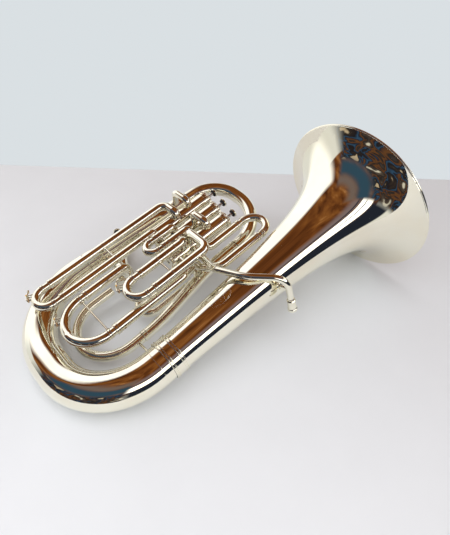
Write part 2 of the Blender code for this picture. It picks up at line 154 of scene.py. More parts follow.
def plain(name, light, dark, roughness, scale, bump, coat=0.0):
    """A non-metal in two close shades with a fine uneven surface."""
    material = bpy.data.materials.new(name)
    tree, shader = nodes_of(material)
    shader.inputs["Roughness"].default_value = roughness
    shader.inputs["Coat Weight"].default_value = coat
    grain = add_noise(tree, scale, 5.0, 0.6)
    tree.links.new(add_ramp(tree, grain.outputs["Fac"], [(0.35, dark), (0.65, light)]),
                   shader.inputs["Base Color"])
    tree.links.new(add_bump(tree, grain.outputs["Fac"], bump, 0.001), shader.inputs["Normal"])
    return material


SILVER = metal("silver_plate_polished", (0.955, 0.925, 0.79, 1), (0.94, 0.89, 0.73, 1), 0.02, 0.05, 0.03)
SATIN = metal("silver_plate_knurled", (0.93, 0.89, 0.80, 1), (0.86, 0.80, 0.68, 1), 0.08, 0.16)
STEEL = metal("piston_nickel_lapped", (0.70, 0.70, 0.70, 1), (0.60, 0.60, 0.61, 1), 0.16, 0.28, 0.0, 0.2)
WIRE = metal("spring_stainless", (0.58, 0.58, 0.60, 1), (0.46, 0.46, 0.48, 1), 0.22, 0.34)
BRASS = metal("brass_screw", (0.80, 0.55, 0.22, 1), (0.66, 0.42, 0.14, 1), 0.12, 0.22)
PEARL = plain("pearl_disc", (0.86, 0.85, 0.82, 1), (0.70, 0.71, 0.70, 1), 0.12, 160.0, 0.05, 0.6)
FELT = plain("black_felt", (0.035, 0.034, 0.036, 1), (0.012, 0.012, 0.013, 1), 0.95, 1400.0, 0.7)
CORK = plain("cork", (0.60, 0.36, 0.16, 1), (0.36, 0.19, 0.08, 1), 0.7, 700.0, 0.5)


# ---------------------------------------------------------------- geometry

def arc(before, corner, after, radius):
    """Points of a round bend of the given radius in place of a corner."""
    way_in = (corner - before).normalized()
    way_out = (after - corner).normalized()
    turn = way_in.angle(way_out)
    if turn < 0.01 or radius <= 0.0:
        return [corner]
    reach = radius * math.tan(turn / 2)
    handle = radius * 4 / 3 * math.tan(turn / 4)
    first = corner - way_in * reach
    last = corner + way_out * reach
    knots = (first, first + way_in * handle, last - way_out * handle, last)
    steps = max(2, math.ceil(math.degrees(turn) / BEND_STEP))
    points = []
    for step in range(steps + 1):
        t = step / steps
        weights = ((1 - t) ** 3, 3 * t * (1 - t) ** 2, 3 * t ** 2 * (1 - t), t ** 3)
        points.append(sum((knot * weight for knot, weight in zip(knots, weights)), Vector()))
    return points


class Route:
    """A line through (x, y, z, bend radius) corners, with a steady frame along it."""

    def __init__(self, corners):
        places = [Vector(corner[:3]) for corner in corners]
        self.points = [places[0]]
        for before, this, after, corner in zip(places, places[1:], places[2:], corners[1:]):
            self.points += arc(before, this, after, corner[3])
        self.points.append(places[-1])
        self.along = [0.0]
        for first, second in zip(self.points, self.points[1:]):
            self.along.append(self.along[-1] + (second - first).length)
        self.length = self.along[-1]
        ways = [(second - first).normalized() for first, second in zip(self.points, self.points[1:])]
        self.ways = [ways[0]] + [(a + b).normalized() for a, b in zip(ways, ways[1:])] + [ways[-1]]
        side = self.ways[0].orthogonal().normalized()
        self.sides = []
        for way in self.ways:
            side = (side - way * side.dot(way)).normalized()
            self.sides.append(side)

    def ring(self, distance):
        """Centre and two cross directions at a distance; past the ends the line runs straight on."""
        if distance <= 0.0:
            way, side = self.ways[0], self.sides[0]
            return self.points[0] + way * distance, side, way.cross(side)
        if distance >= self.length:
            way, side = self.ways[-1], self.sides[-1]
            return self.points[-1] + way * (distance - self.length), side, way.cross(side)
        index = next(i for i in range(1, len(self.along)) if self.along[i] >= distance)
        share = (distance - self.along[index - 1]) / (self.along[index] - self.along[index - 1])
        way = self.ways[index - 1].lerp(self.ways[index], share).normalized()
        side = self.sides[index - 1].lerp(self.sides[index], share)
        side = (side - way * side.dot(way)).normalized()
        return self.points[index - 1].lerp(self.points[index], share), side, way.cross(side)


def make_piece(name, shape, material, body, node=None):
    """Turn a bmesh in the instrument's frame into a piece that rides on a body."""
    bmesh.ops.recalc_face_normals(shape, faces=shape.faces)
    mesh = bpy.data.meshes.new(name)
    shape.to_mesh(mesh)
    shape.free()
    mesh.transform(LAY)
    mesh.shade_smooth()
    mesh.set_sharp_from_angle(angle=math.radians(SHARP_ANGLE))
    mesh.materials.append(material)
    piece = bpy.data.objects.new(name, mesh)
    bpy.context.scene.collection.objects.link(piece)
    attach(piece, body)
    if node:
        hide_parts(node)


def sweep(shape, route, stations, sides=SIDES, closed=False, flutes=0, cut=0.0):
    """Skin rings of (distance, radius) along a route.  Open ends are capped; a closed loop joins up.

    A third value in a station is how much of the cut of the flutes it has.
    """
    rings = []
    for station in stations:
        distance, radius = station[:2]
        centre, u, v = route.ring(distance)
        if radius <= 0.0:
            rings.append([shape.verts.new(centre)])
            continue
        ring = []
        depth = cut * station[2] if len(station) == 3 else 0.0
        for index in range(sides):
            angle = 2 * math.pi * index / sides
            reach = radius - depth * (0.5 - 0.5 * math.cos(angle * flutes))
            ring.append(shape.verts.new(centre + (u * math.cos(angle) + v * math.sin(angle)) * reach))
        rings.append(ring)
    pairs = list(zip(rings, rings[1:]))
    if closed:
        pairs.append((rings[-1], rings[0]))
    for first, second in pairs:
        for index in range(sides):
            after = (index + 1) % sides
            if len(first) == 1 and len(second) == 1:
                break
            if len(first) == 1:
                shape.faces.new((first[0], second[index], second[after]))
            elif len(second) == 1:
                shape.faces.new((first[index], second[0], first[after]))
            else:
                shape.faces.new((first[index], second[index], second[after], first[after]))
    if not closed:
        for ring in (rings[0], rings[-1]):
            if len(ring) > 1:
                shape.faces.new(ring)
    return shape


def taper(stops, distance):
    """Radius at a distance, straight between (distance, radius) stops."""
    for (near, near_r), (far, far_r) in zip(stops, stops[1:]):
        if distance <= far:
            return near_r + (far_r - near_r) * (distance - near) / (far - near)
    return stops[-1][1]


def bead_marks(low, width, step):
    """A half-round bead: (distance, extra radius)."""
    angles = [math.pi * index / 6 for index in range(7)]
    return [(low + width * (0.5 - 0.5 * math.cos(angle)), step * math.sin(angle)) for angle in angles]


ONE_BEAD = 3.2                 # a collar shorter than this is a single bead
BEAD_WIDTH = 2.0


def collar_marks(low, length, step):
    """A ring round a pipe with a round bead at each end; a short ring is one bead."""
    if length < ONE_BEAD:
        return bead_marks(low, length, step)
    width = min(BEAD_WIDTH, length * 0.36)
    high = low + length
    floor = step * 0.45
    inset = width * 0.96
    return (bead_marks(low, width, step)[:5] + [(low + inset, floor), (high - inset, floor)]
            + bead_marks(high - width, width, step)[2:])


def outer_stations(route, radii, collars=()):
    """Stations of a pipe's outer side; radii are spread evenly and collars are (start, length, step)."""
    total = route.length
    stops = [(total * index / (len(radii) - 1), radius) for index, radius in enumerate(radii)]
    marks = [(distance, 0.0) for distance in route.along]
    for start, length, step in collars:
        low = start if start >= 0 else total + start
        ring = [mark for mark in collar_marks(low, length, step) if -0.01 <= mark[0] <= total + 0.01]
        marks = [mark for mark in marks if mark[0] < low - 0.1 or mark[0] > low + length + 0.1]
        marks = sorted(marks + ring)
    return [(distance, taper(stops, distance) + extra) for distance, extra in marks]


def pipe(shape, corners, radii, collars=(), sides=SIDES):
    """A solid round pipe."""
    route = Route(corners)
    return sweep(shape, route, outer_stations(route, radii, collars), sides)


def bored_pipe(shape, corners, radius, bore, depth, collars):
    """A pipe with a bore in its first end, for a slide's leg."""
    route = Route(corners)
    inner = [(depth, 0.0), (depth, bore), (0.4, bore), (0.0, bore + 0.3)]
    return sweep(shape, route, inner + outer_stations(route, (radius, radius), collars))


def turned(shape, place, axis, profile, sides=SIDES, closed=False, flutes=0, cut=0.0):
    """A turned form from (height, radius) stations along an axis."""
    route = Route([tuple(place), tuple(Vector(place) + Vector(axis))])
    return sweep(shape, route, profile, sides, closed, flutes, cut)


def body_of(node):
    """The name of the body that a CAD node rides on."""
    return frame["nodes"][node]["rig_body"]


def stand_in(node, shape):
    """A detailed silver piece in place of one CAD node, on the same body."""
    make_piece(node + "_look", shape, SILVER, body_of(node), node)


# ---------------------------------------------------------------- bell, bows and branches

BELL_MOUTH_R = 150.0
BELL_LENGTH = 450.0
BELL_OFFSET = 29.1
BELL_FLARE = 0.57
BELL_WALL = 0.9
RIM_WIRE_R = 2.1
TUBE_WALL = 1.2
FERRULE_R = 32.5               # of the ring between the bell and the bottom bow
FERRULE_BORE_R = 31.6
FERRULE_BEAD = 2.4             # width of each of its beads
FERRULE_BEAD_RISE = 1.3


def bell_radius(depth):
    """Outer radius of the bell at a depth behind its mouth."""
    return BELL_MOUTH_R * (BELL_OFFSET / (BELL_OFFSET + depth)) ** BELL_FLARE


def make_bell():
    """The bell with its rolled rim, and the ferrule that joins it to the bottom bow."""
    rings = 90
    depths = [BELL_LENGTH * (index / rings) ** 1.9 for index in range(rings + 1)]
    outside = [(-depth, bell_radius(depth)) for depth in depths]
    inside = [(-depth, bell_radius(depth) - BELL_WALL) for depth in reversed(depths)]
    lip = [(1.6, BELL_MOUTH_R + 0.6)]
    shape = turned(bmesh.new(), (0, 0, 0), (0, 1, 0), outside + inside + lip, 144, True)
    stand_in("bell", shape)
    middle_y = RIM_WIRE_R + 0.6
    bead = [(middle_y + RIM_WIRE_R * math.sin(angle), BELL_MOUTH_R + RIM_WIRE_R * math.cos(angle))
            for angle in (2 * math.pi * index / 16 for index in range(16))]
    stand_in("bell_rim_wire", turned(bmesh.new(), (0, 0, 0), (0, 1, 0), bead, 144, True))
    ring = [(12.0, FERRULE_BORE_R)]
    for low in (9.6, 5.4, -7.8, -12.0):
        ring += [(low + FERRULE_BEAD * (0.5 + 0.5 * math.cos(turn)),
                  FERRULE_R + FERRULE_BEAD_RISE * math.sin(turn))
                 for turn in (math.pi * index / 8 for index in range(9))]
    ring.append((-12.0, FERRULE_BORE_R))
    shape = turned(bmesh.new(), (0, -BELL_LENGTH, 0), (0, 1, 0), ring, 72, True)
    stand_in("bell_ferrule", shape)


OVAL_DEPTH = 336.0             # behind the bell's mouth
OVAL_FACING = math.radians(88.0)
OVAL_HALF_LENGTH = 21.0
OVAL_HALF_WIDTH = 9.5
OVAL_LIFT = 0.03               # of its lines' centres above the bell


def on_bell(along, across):
    """A point of the oval on the bell, from its distances along and across the bell."""
    radius = bell_radius(OVAL_DEPTH - along) + OVAL_LIFT
    angle = OVAL_FACING - across / radius
    return (radius * math.cos(angle), along - OVAL_DEPTH, radius * math.sin(angle))


def make_cartouche():
    """A plain double oval on the bell's front, with a scroll inside it."""
    shape = bmesh.new()
    for share, thickness in ((1.0, 0.22), (0.86, 0.13)):
        ring = [on_bell(OVAL_HALF_LENGTH * share * math.cos(turn), OVAL_HALF_WIDTH * share * math.sin(turn))
                for turn in (2 * math.pi * index / 48 for index in range(49))]
        pipe(shape, [(*point, 0.0) for point in ring], (thickness, thickness), (), 6)
    for way in (-1, 1):
        scroll = [on_bell(way * (1.0 + 12.0 * t), 4.4 * math.sin(t * math.pi * 2.2) * (1 - 0.5 * t))
                  for t in (index / 24 for index in range(25))]
        pipe(shape, [(*point, 0.0) for point in scroll], (0.2, 0.12), (), 6)
    make_piece("bell_oval_engraving", shape, SATIN, body_of("bell"))


BOTTOM_BOW = [(0, -450.5, 0), (0, -594, 0, 114), (-275, -594, 0, 134), (-275, -440, 0)]
OUTER_BRANCH = [(-275, -438.6, 0), (-265, -262, 0, 900), (-264, -201.6, 0)]
TOP_BOW = [(-264, -200, 0), (-264, -122, -4, 62), (-104, -122, -18, 88), (-104, -215, -20)]
INNER_BRANCH = [(-104, -216.6, -20), (-102, -290, -20, 300), (-77, -420, -20, 300), (-77, -456, -20)]
SMALL_BOW = [(-77, -456.5, -20), (-77, -541, -20, 63), (-203, -541, -20, 63), (-203, -437, -20)]


COLLAR_START = 0.31            # from the end of a pipe to its first collar


def hollow_pipe(corners, radii, collars):
    """A thin pipe, open at both ends."""
    route = Route(corners)
    outside = outer_stations(route, radii, collars)
    total = route.length
    stops = [(total * index / (len(radii) - 1), radius - TUBE_WALL) for index, radius in enumerate(radii)]
    inside = [(distance, taper(stops, distance)) for distance in reversed(route.along)]
    return sweep(bmesh.new(), route, outside + inside, 64, True)


def make_branches():
    """The wide tubes that carry the air from the valves to the bell."""
    for node, corners, radii, collars in (
            ("bottom_bow", BOTTOM_BOW, (30.6, 31.0, 30.4, 27.0, 23.0), [(5.0, 1.6, 0.5), (24.0, 1.6, 0.4)]),
            ("outer_branch", OUTER_BRANCH, (22.4, 14.6), [(COLLAR_START, 16, 1.3), (-9, 8.6, 0.9)]),
            ("top_bow", TOP_BOW, (13.9, 13.3, 12.3), []),
            ("inner_branch", INNER_BRANCH, (12.1, 9.6), [(COLLAR_START, 8, 0.9), (-9, 8.6, 0.9)]),
            ("small_bow", SMALL_BOW, (9.2, 8.6, 8.2), [])):
        stand_in(node, hollow_pipe(corners, radii, collars))


# ---------------------------------------------------------------- leadpipe

LEADPIPE = [(-124.2, -290, 24), (-88, -296, 28, 30), (-50, -306, 40, 40), (10, -288, 50.5, 60),
            (59, -245, 46, 28), (66, -247.5, -2)]
RECEIVER_LENGTH = 24.0
RECEIVER_R = 7.4
LEADPIPE_BRACE = [(42.9, -248, 15.0), (56.8, -248, 21.6)]


def make_leadpipe():
    """The leadpipe over the bell, its mouthpiece receiver and the post that holds it."""
    stand_in("leadpipe", pipe(bmesh.new(), LEADPIPE, (6.4, 5.6, 5.6), [(0.2, 6.0, 0.8), (-3.0, 2.8, 0.7)]))
    end = Vector(LEADPIPE[-1][:3])
    way = (end - Vector(LEADPIPE[-2][:3])).normalized()
    far = RECEIVER_LENGTH
    profile = [(0.0, 4.8), (0.0, 6.4), (1.4, RECEIVER_R), (6.0, RECEIVER_R - 0.2),
               (far - 6.5, RECEIVER_R - 0.1), (far - 5.6, RECEIVER_R + 0.2), (far - 4.6, RECEIVER_R + 0.9),
               (far - 0.6, RECEIVER_R + 0.9), (far, RECEIVER_R + 0.5), (far, 6.0), (far - 0.5, 5.6)]
    stand_in("mouthpiece_receiver", turned(bmesh.new(), end + way * GAP, way, profile, 48, True))
    post = pipe(bmesh.new(), LEADPIPE_BRACE, (2.0, 2.0), [(COLLAR_START, 1.6, 4.0), (7.0, 2.2, 0.8)], 24)
    stand_in("leadpipe_brace", post)


# ---------------------------------------------------------------- valves

VALVE_LENGTH = 140.0
CASING_R = 14.5
CASING_BORE_R = 11.4
CAP_R = 16.0
STEM_R = 3.0
BUTTON_R = 8.5
STEM_TOP = 17.0
KNURLS = 60                    # round a cap
KNURL_DEPTH = 0.55
KNURL_SIDES = 3 * KNURLS
SIDE_ANGLE = math.radians(28.8)
SIDE_VALVE_Z = -50.14
SIDE_AXIS = Vector((-math.cos(SIDE_ANGLE), math.sin(SIDE_ANGLE), 0.0))
VALVES = {
    1: (Vector((-139.5, -199.0, 20.0)), Vector((0, 1, 0))),
    2: (Vector((-176.0, -191.0, 20.0)), Vector((0, 1, 0))),
    3: (Vector((-212.5, -183.0, 20.0)), Vector((0, 1, 0))),
    4: (Vector((-222.5, -410.1, SIDE_VALVE_Z)) + SIDE_AXIS * VALVE_LENGTH, SIDE_AXIS),
}

# Where a pipe ends on the front, the back and the bell side of the upright casings
FRONT = VALVES[1][0].z + CASING_R + GAP
BACK = VALVES[1][0].z - CASING_R - GAP
SIDE = VALVES[1][0].x + CASING_R + GAP
KNUCKLE_Y = -236
FRONT_LINK = [(-176, -243, FRONT), (-176, -243, 45, 9), (-139.5, -243, 45, 9), (-139.5, -243, FRONT)]
BACK_LOOP = [(-139.5, -224, BACK), (-139.5, -224, -22, 15), (-139.5, -254, -22, 15), (-139.5, -254, BACK)]
OUTER_LINK = [(-212.5, -228, FRONT), (-212.5, -228, 46, 9), (-250, -228, 46, 12), (-259.4, -228, 15.3)]
BACK_BOW = [(-139.5, -296, BACK), (-139.5, -296, -36, 12), (-114, -304, -36, 12), (-114, -424, -36, 23),
            (-160, -424, -36, 23), (-160, -300, -36, 10), (-176, -292, -36, 10), (-176, -292, BACK)]


def make_valve(number, top, axis):
    """One valve from outside: casing with its rings, knurled caps, pearl-topped button and its felt."""
    base = VALVE_LENGTH
    r = CASING_R
    casing = [(-3.0, CASING_BORE_R), (-3.0, r), (-10.0, r), (-10.4, r + 0.5), (-12.0, r + 0.5), (-12.4, r),
              (-38.0, r), (-38.3, r + 0.25), (-39.4, r + 0.25), (-39.7, r),
              (-base + 12.4, r), (-base + 12.0, r + 0.5), (-base + 10.4, r + 0.5), (-base + 10.0, r),
              (-base + 3.0, r), (-base + 3.0, CASING_BORE_R)]
    stand_in("casing_%d" % number, turned(bmesh.new(), top, axis, casing, 64, True))
    skirt = CASING_R + GAP
    cap = [(1.2, STEM_R + 0.5), (1.2, CAP_R - 6.5), (0.9, CAP_R - 5.6), (0.2, CAP_R - 2.2),
           (-0.5, CAP_R - 0.6), (-1.3, CAP_R, 0.0), (-1.9, CAP_R, 1.0), (-6.6, CAP_R, 1.0),
           (-7.2, CAP_R, 0.0), (-9.0, CAP_R - 0.3), (-9.0, skirt), (-2.6, skirt), (-2.6, STEM_R + 0.5)]
    shape = turned(bmesh.new(), top, axis, cap, KNURL_SIDES, True, KNURLS, KNURL_DEPTH)
    stand_in("top_cap_%d" % number, shape)
    cup = [(-base + 2.6, 0.0), (-base + 2.6, skirt), (-base + 9.0, skirt), (-base + 9.0, CAP_R - 0.3),
           (-base + 7.4, CAP_R, 0.0), (-base + 6.8, CAP_R, 1.0), (-base + 2.2, CAP_R, 1.0),
           (-base + 1.6, CAP_R, 0.0), (-base + 0.4, CAP_R - 0.6), (-base, CAP_R - 1.4), (-base, 5.0),
           (-base + 1.4, 4.2), (-base + 1.4, 0.0)]
    shape = turned(bmesh.new(), top, axis, cup, KNURL_SIDES, False, KNURLS, KNURL_DEPTH)
    stand_in("bottom_cap_%d" % number, shape)
    rise = STEM_TOP + GAP
    button = [(rise, 0.0), (rise, BUTTON_R - 2.4), (rise + 0.5, BUTTON_R - 0.9), (rise + 1.3, BUTTON_R - 0.1),
              (rise + 2.1, BUTTON_R), (rise + 2.9, BUTTON_R - 0.5), (rise + 3.3, BUTTON_R - 1.3),
              (rise + 3.1, BUTTON_R - 1.6), (rise + 3.1, 0.0)]
    body = body_of("finger_button_%d" % number)
    stand_in("finger_button_%d" % number, turned(bmesh.new(), top, axis, button, 48))
    disc = [(rise + 3.0, 0.0), (rise + 3.0, BUTTON_R - 1.7), (rise + 3.4, BUTTON_R - 2.0),
            (rise + 3.65, BUTTON_R - 4.0), (rise + 3.7, 0.0)]
    make_piece("pearl_%d" % number, turned(bmesh.new(), top, axis, disc, 48), PEARL, body, None)
    felt = [(rise - 1.5, STEM_R + 0.1), (rise - 1.5, 6.6), (rise - 1.2, 7.0), (rise - 0.4, 7.0),
            (rise - 0.1, 6.6), (rise - 0.1, STEM_R + 0.1)]
    make_piece("felt_%d" % number, turned(bmesh.new(), top, axis, felt, 40, True), FELT, body, None)
    for node, material in (("piston_%d" % number, STEEL), ("valve_spring_%d" % number, WIRE)):
        frame["nodes"][node].data.materials.clear()
        frame["nodes"][node].data.materials.append(material)


def make_valves():
    """All four valves, the links between them and the compensating tubes behind them."""
    for number, (top, axis) in VALVES.items():
        make_valve(number, top, axis)
    for low, high in ((1, 2), (2, 3)):
        start = VALVES[low][0].x - CASING_R - GAP
        end = VALVES[high][0].x + CASING_R + GAP
        link = pipe(bmesh.new(), [(start, KNUCKLE_Y, 20), (end, KNUCKLE_Y, 20)], (8.0, 8.0),
                    [(0.3, 1.2, 0.7), (-1.5, 1.2, 0.7)])
        stand_in("knuckle_%d%d" % (low, high), link)
    joints = [(0.3, 2.4, 0.7), (-2.7, 2.4, 0.7)]
    stand_in("front_link", pipe(bmesh.new(), FRONT_LINK, (7.0, 7.0), joints))
    stand_in("compensating_loop", pipe(bmesh.new(), BACK_LOOP, (6.2, 6.2), joints))
    stand_in("compensating_bow", pipe(bmesh.new(), BACK_BOW, (7.0, 7.0), joints))
    make_piece("outer_link", pipe(bmesh.new(), OUTER_LINK, (6.6, 6.6), joints), SILVER, "body")


# ---------------------------------------------------------------- slides

SLEEVES = {
    "slide_1_tube_left": [(-109, -194, 20), (-109, -270, 20, 10), (SIDE, -270, 20)],
    "slide_1_tube_right": [(-59, -194, 20), (-59, -286, 20, 18), (-96, -303, 5, 18), (SIDE, -303, 5)],
    "slide_2_tube_left": [(-180, -334, 45), (-180, -290, 45, 9), (-180, -290, FRONT)],
    "slide_2_tube_right": [(-152, -334, 45), (-152, -274, 45, 9), (-152, -274, FRONT)],
    "slide_3_tube_left": [(-119, -404, 62), (-119, -305.5, 62, 12), (-134, -305.5, 52, 6),
                          (-134, -305.5, FRONT)],
    "slide_3_tube_right": [(-76, -404, 62), (-76, -290, 62, 15), (-134, -286, 58, 12), (-134, -286, FRONT)],
    "slide_4_tube_left": [(-243, -518, 44), (-243, -262, 44, 16), (-206, -262, 44, 8), (-206, -262, FRONT)],
    "slide_4_tube_right": [(-198, -518, 44), (-198, -321, 44, 8), (-198, -321, FRONT)],
    "main_tube_left": [(-174, -488, 40), (-174, -402, 40, 12), (-176, -400, 6, 14), (-240, -400.5, 2, 14),
                       (-240, -400.5, SIDE_VALVE_Z + CASING_R + 0.5)],
    "main_tube_right": [(-77, -488, 40), (-77, -350, 40, 18), (-98, -321, 20, 12), (SIDE, -320, 20)],
}
BORE_DEPTHS = {"slide_1": 60, "slide_2": 33, "slide_3": 66, "slide_4": 150, "main": 70}
# Crook: x of the left and the right leg, height, y where the bow starts, its way along Y, length of a leg
CROOKS = {
    "slide_1_crook": (-109, -59, 20, -184.5, 1, 55),
    "slide_2_crook": (-180, -152, 45, -343.5, -1, 30),
    "slide_3_crook": (-119, -76, 62, -416.5, -1, 62),
    "slide_4_crook": (-243, -198, 44, -530, -1, 140),
    "main_slide_crook": (-174, -77, 40, -497, -1, 66),
}
CROOK_FERRULE = 6.0            # length of the ring on each leg of a crook
# Water key: angle round the crook's bow, the pivot's distance from the nipple, and the arm's length
KEY_ANGLE = math.radians(236.0)
KEY_TANGENT = 9.0
KEY_ARM = 23.0
KEYS = {"slide_3_crook": 1, "slide_4_crook": 2, "main_slide_crook": 3}


def sizes_of(name):
    """Sleeve, bore, leg and bow radii of a slide: the main slide is wider."""
    return (8.8, 7.7, 7.3, 8.0) if name.startswith("main") else (8.0, 6.9, 6.5, 7.4)


def make_crook(name):
    """A slide's U with a ferrule on each leg, and its water key if it has one."""
    left, right, height, bow_y, way, leg = CROOKS[name]
    leg_r, bow_r = sizes_of(name)[2:]
    half = (right - left) / 2
    far = bow_y - way * leg
    crown = bow_y + way * half
    route = Route([(left, far, height), (left, crown, height, half), (right, crown, height, half),
                   (right, far, height)])
    neck = leg - 3.0
    total = route.length
    step = bow_r - leg_r + 0.5
    stations = []
    ferrules = [(neck, CROOK_FERRULE, step), (total - neck - CROOK_FERRULE, CROOK_FERRULE, step)]
    for distance, radius in outer_stations(route, (leg_r, leg_r), ferrules):
        inside = neck < distance < total - neck
        stations.append((distance, max(radius, bow_r) if inside else radius))
    shape = sweep(bmesh.new(), route, stations)
    if name not in KEYS:
        stand_in(name, shape)
        return
    out = Vector((math.cos(KEY_ANGLE), math.sin(KEY_ANGLE), 0.0))
    along = Vector((math.sin(KEY_ANGLE), -math.cos(KEY_ANGLE), 0.0))
    seat = Vector(((left + right) / 2, bow_y, height)) + out * half
    nipple = [(bow_r - 1.5, 0.0), (bow_r - 1.5, 3.4), (bow_r + 0.6, 3.0), (bow_r + 3.4, 2.6),
              (bow_r + 4.0, 2.2), (bow_r + 4.0, 0.0)]
    turned(shape, seat, out, nipple, 24)
    pivot = seat + along * KEY_TANGENT
    for side in (-2.6, 2.6):
        post = pivot + Vector((0, 0, side))
        saddle = [(bow_r - 4.5, 0.0), (bow_r - 4.5, 1.6), (bow_r + 4.6, 1.0), (bow_r + 7.6, 1.4),
                  (bow_r + 8.4, 0.9), (bow_r + 8.4, 0.0)]
        turned(shape, post, out, saddle, 16)
    stand_in(name, shape)
    make_key(KEYS[name], seat, out, along, bow_r)


def make_key(number, seat, out, along, bow_r):
    """A water key: cup and cork over the nipple, a bent arm, a thumb plate and a cross pin."""
    node = "water_key_%d" % number
    face = seat + out * (bow_r + 4.4)
    knee = face + out * 4.6
    tip = knee + along * KEY_ARM
    lift = out * 1.2
    arm = [tuple(face + out * 1.6), (*knee, 2.5), (*(knee + along * 12 + lift * 0.5), 30), tuple(tip)]
    shape = pipe(bmesh.new(), arm, (1.6, 1.5, 1.3), [], 20)
    cup = [(0.6, 0.0), (0.6, 3.5), (1.0, 3.9), (2.0, 3.9), (2.5, 3.3), (2.8, 1.6), (2.8, 0.0)]
    turned(shape, face, out, cup, 28)
    plate = [(-0.9, 0.0), (-0.9, 2.6), (-0.4, 3.3), (0.4, 3.3), (0.9, 2.6), (0.9, 0.0)]
    turned(shape, tip - along * 3.2, out, plate, 24)
    hinge = knee + along * KEY_TANGENT
    across = Vector((0, 0, 1))
    turned(shape, hinge, across, [(-2.0, 0.0), (-2.0, 2.1), (2.0, 2.1), (2.0, 0.0)], 20)
    stand_in(node, shape)
    pad = turned(bmesh.new(), face, out, [(-0.3, 0.0), (-0.3, 3.0), (0.0, 3.3), (0.7, 3.3), (0.7, 0.0)], 28)
    make_piece("cork_%d" % number, pad, CORK, body_of(node))
    pin = [(-4.4, 0.0), (-4.4, 1.5), (-3.8, 1.7), (-3.4, 0.9), (3.4, 0.9), (3.8, 1.7), (4.4, 1.5), (4.4, 0.0)]
    screw = turned(bmesh.new(), hinge, across, pin, 20)
    make_piece("water_key_screw_%d" % number, screw, BRASS, body_of(node))


# Brace: (centre of the first tube, its radius, centre of the second tube, its radius, radius of the rod)
BRACES = {
    "slide_4_brace": ((-243, -404, 44), 8.0, (-198, -404, 44), 8.0, 2.0),
    "slide_3_brace": ((-119, -364, 62), 8.0, (-76, -364, 62), 8.0, 1.8),
    "slide_2_brace": ((-180, -320, 45), 8.0, (-152, -320, 45), 8.0, 1.8),
    "slide_23_brace": ((-152, -328, 45), 8.0, (-119, -328, 62), 8.0, 1.8),
    "main_slide_brace": ((-174, -496, 40), 8.0, (-77, -496, 40), 8.0, 1.6),
    "bow_brace": ((-77, -468, -20), 9.3, (0, -468, 0), 31.0, 2.2),
}
# Band round a sleeve under a brace: distance from the sleeve's open end
BANDS = {"slide_4_tube_left": (112.5,), "slide_4_tube_right": (112.5,), "slide_3_tube_left": (38.5, 74.5),
         "slide_3_tube_right": (38.5,), "slide_2_tube_left": (12.5,), "slide_2_tube_right": (12.5,)}
BRACE_GAP = 0.1                # between a brace's foot and the tube


def make_braces():
    """Rods with a round foot at each end, from the side of one tube to the side of another."""
    for name, (first, first_r, second, second_r, rod_r) in BRACES.items():
        start, end = Vector(first), Vector(second)
        way = (end - start).normalized()
        start += way * (first_r + BRACE_GAP)
        end -= way * (second_r + BRACE_GAP)
        feet = [(0.1, 1.3, 2.2), (-1.4, 1.3, 2.2)]
        shape = pipe(bmesh.new(), [tuple(start), tuple(end)], (rod_r, rod_r), feet, 24)
        if name in frame["nodes"]:
            stand_in(name, shape)
        else:
            make_piece(name, shape, SILVER, "body")


def make_slides():
    """The sleeves with their ferrules and bands, the crooks and the braces between them."""
    for name, corners in SLEEVES.items():
        sleeve_r, bore_r = sizes_of(name)[:2]
        collars = [(0.1, 7.0, 0.9)] + [(at, 3.0, 0.45) for at in BANDS.get(name, ())]
        bore_depth = BORE_DEPTHS[name.split("_tube")[0]]
        stand_in(name, bored_pipe(bmesh.new(), corners, sleeve_r, bore_r, bore_depth, collars))
    for name in CROOKS:
        make_crook(name)
    make_braces()


make_bell()
make_cartouche()
make_branches()
make_leadpipe()
make_valves()
make_slides()


# ---------------------------------------------------------------- studio

def make_camera():
    """The camera in front of and above the instrument."""
    data = bpy.data.cameras.new("camera")
    data.lens = 36.0
    data.sensor_width = 36.0
    data.sensor_fit = "HORIZONTAL"
    data.clip_start = 0.01
    data.clip_end = 50.0
    camera = bpy.data.objects.new("camera", data)
    right = Vector((0.67074, 0.74168, -0.00352)).normalized()
    forward = Vector((-0.54652, 0.49103, -0.67838)).normalized()
    up = right.cross(forward)
    camera.matrix_world = Matrix((
        (right.x, up.x, -forward.x, 0.47557),
        (right.y, up.y, -forward.y, -0.36917),
        (right.z, up.z, -forward.z, 0.63327),
        (0, 0, 0, 1)))
    bpy.context.scene.collection.objects.link(camera)
    bpy.context.scene.camera = camera


# The floor is a small sheet that the silver mirrors, on a big one that it doesn't.  In metres from the
# origin, along and across the view seen from above.
FLOOR_BACK = 0.465
SHEET_FRONT = -0.46
FLOOR_FRONT = -2.2
SHEET_HALF_WIDTH = 0.8
FLOOR_HALF_WIDTH = 2.2
FLOOR_DROP = -0.0004           # of the big one below the sheet
FLOOR_TINTS = ((0.80, 0.815, 0.83, 1), (0.77, 0.785, 0.80, 1))


def make_floor(name, front, half_width, height):
    """A pale floor at a height, whose back edge lies across the view behind the instrument."""
    shape = bmesh.new()
    across = Vector((0.721, 0.693, 0.0))
    away = Vector((-0.693, 0.721, 0.0))
    rise = Vector((0.0, 0.0, height))
    corners = [away * depth + across * side + rise for depth, side in
               ((front, -half_width), (front, half_width),
                (FLOOR_BACK, half_width), (FLOOR_BACK, -half_width))]
    shape.faces.new([shape.verts.new(corner) for corner in corners])
    mesh = bpy.data.meshes.new(name)
    shape.to_mesh(mesh)
    shape.free()
    mesh.materials.append(plain("pale_" + name, *FLOOR_TINTS, 0.6, 3.0, 0.02))
    floor = bpy.data.objects.new(name, mesh)
    bpy.context.scene.collection.objects.link(floor)
    return floor


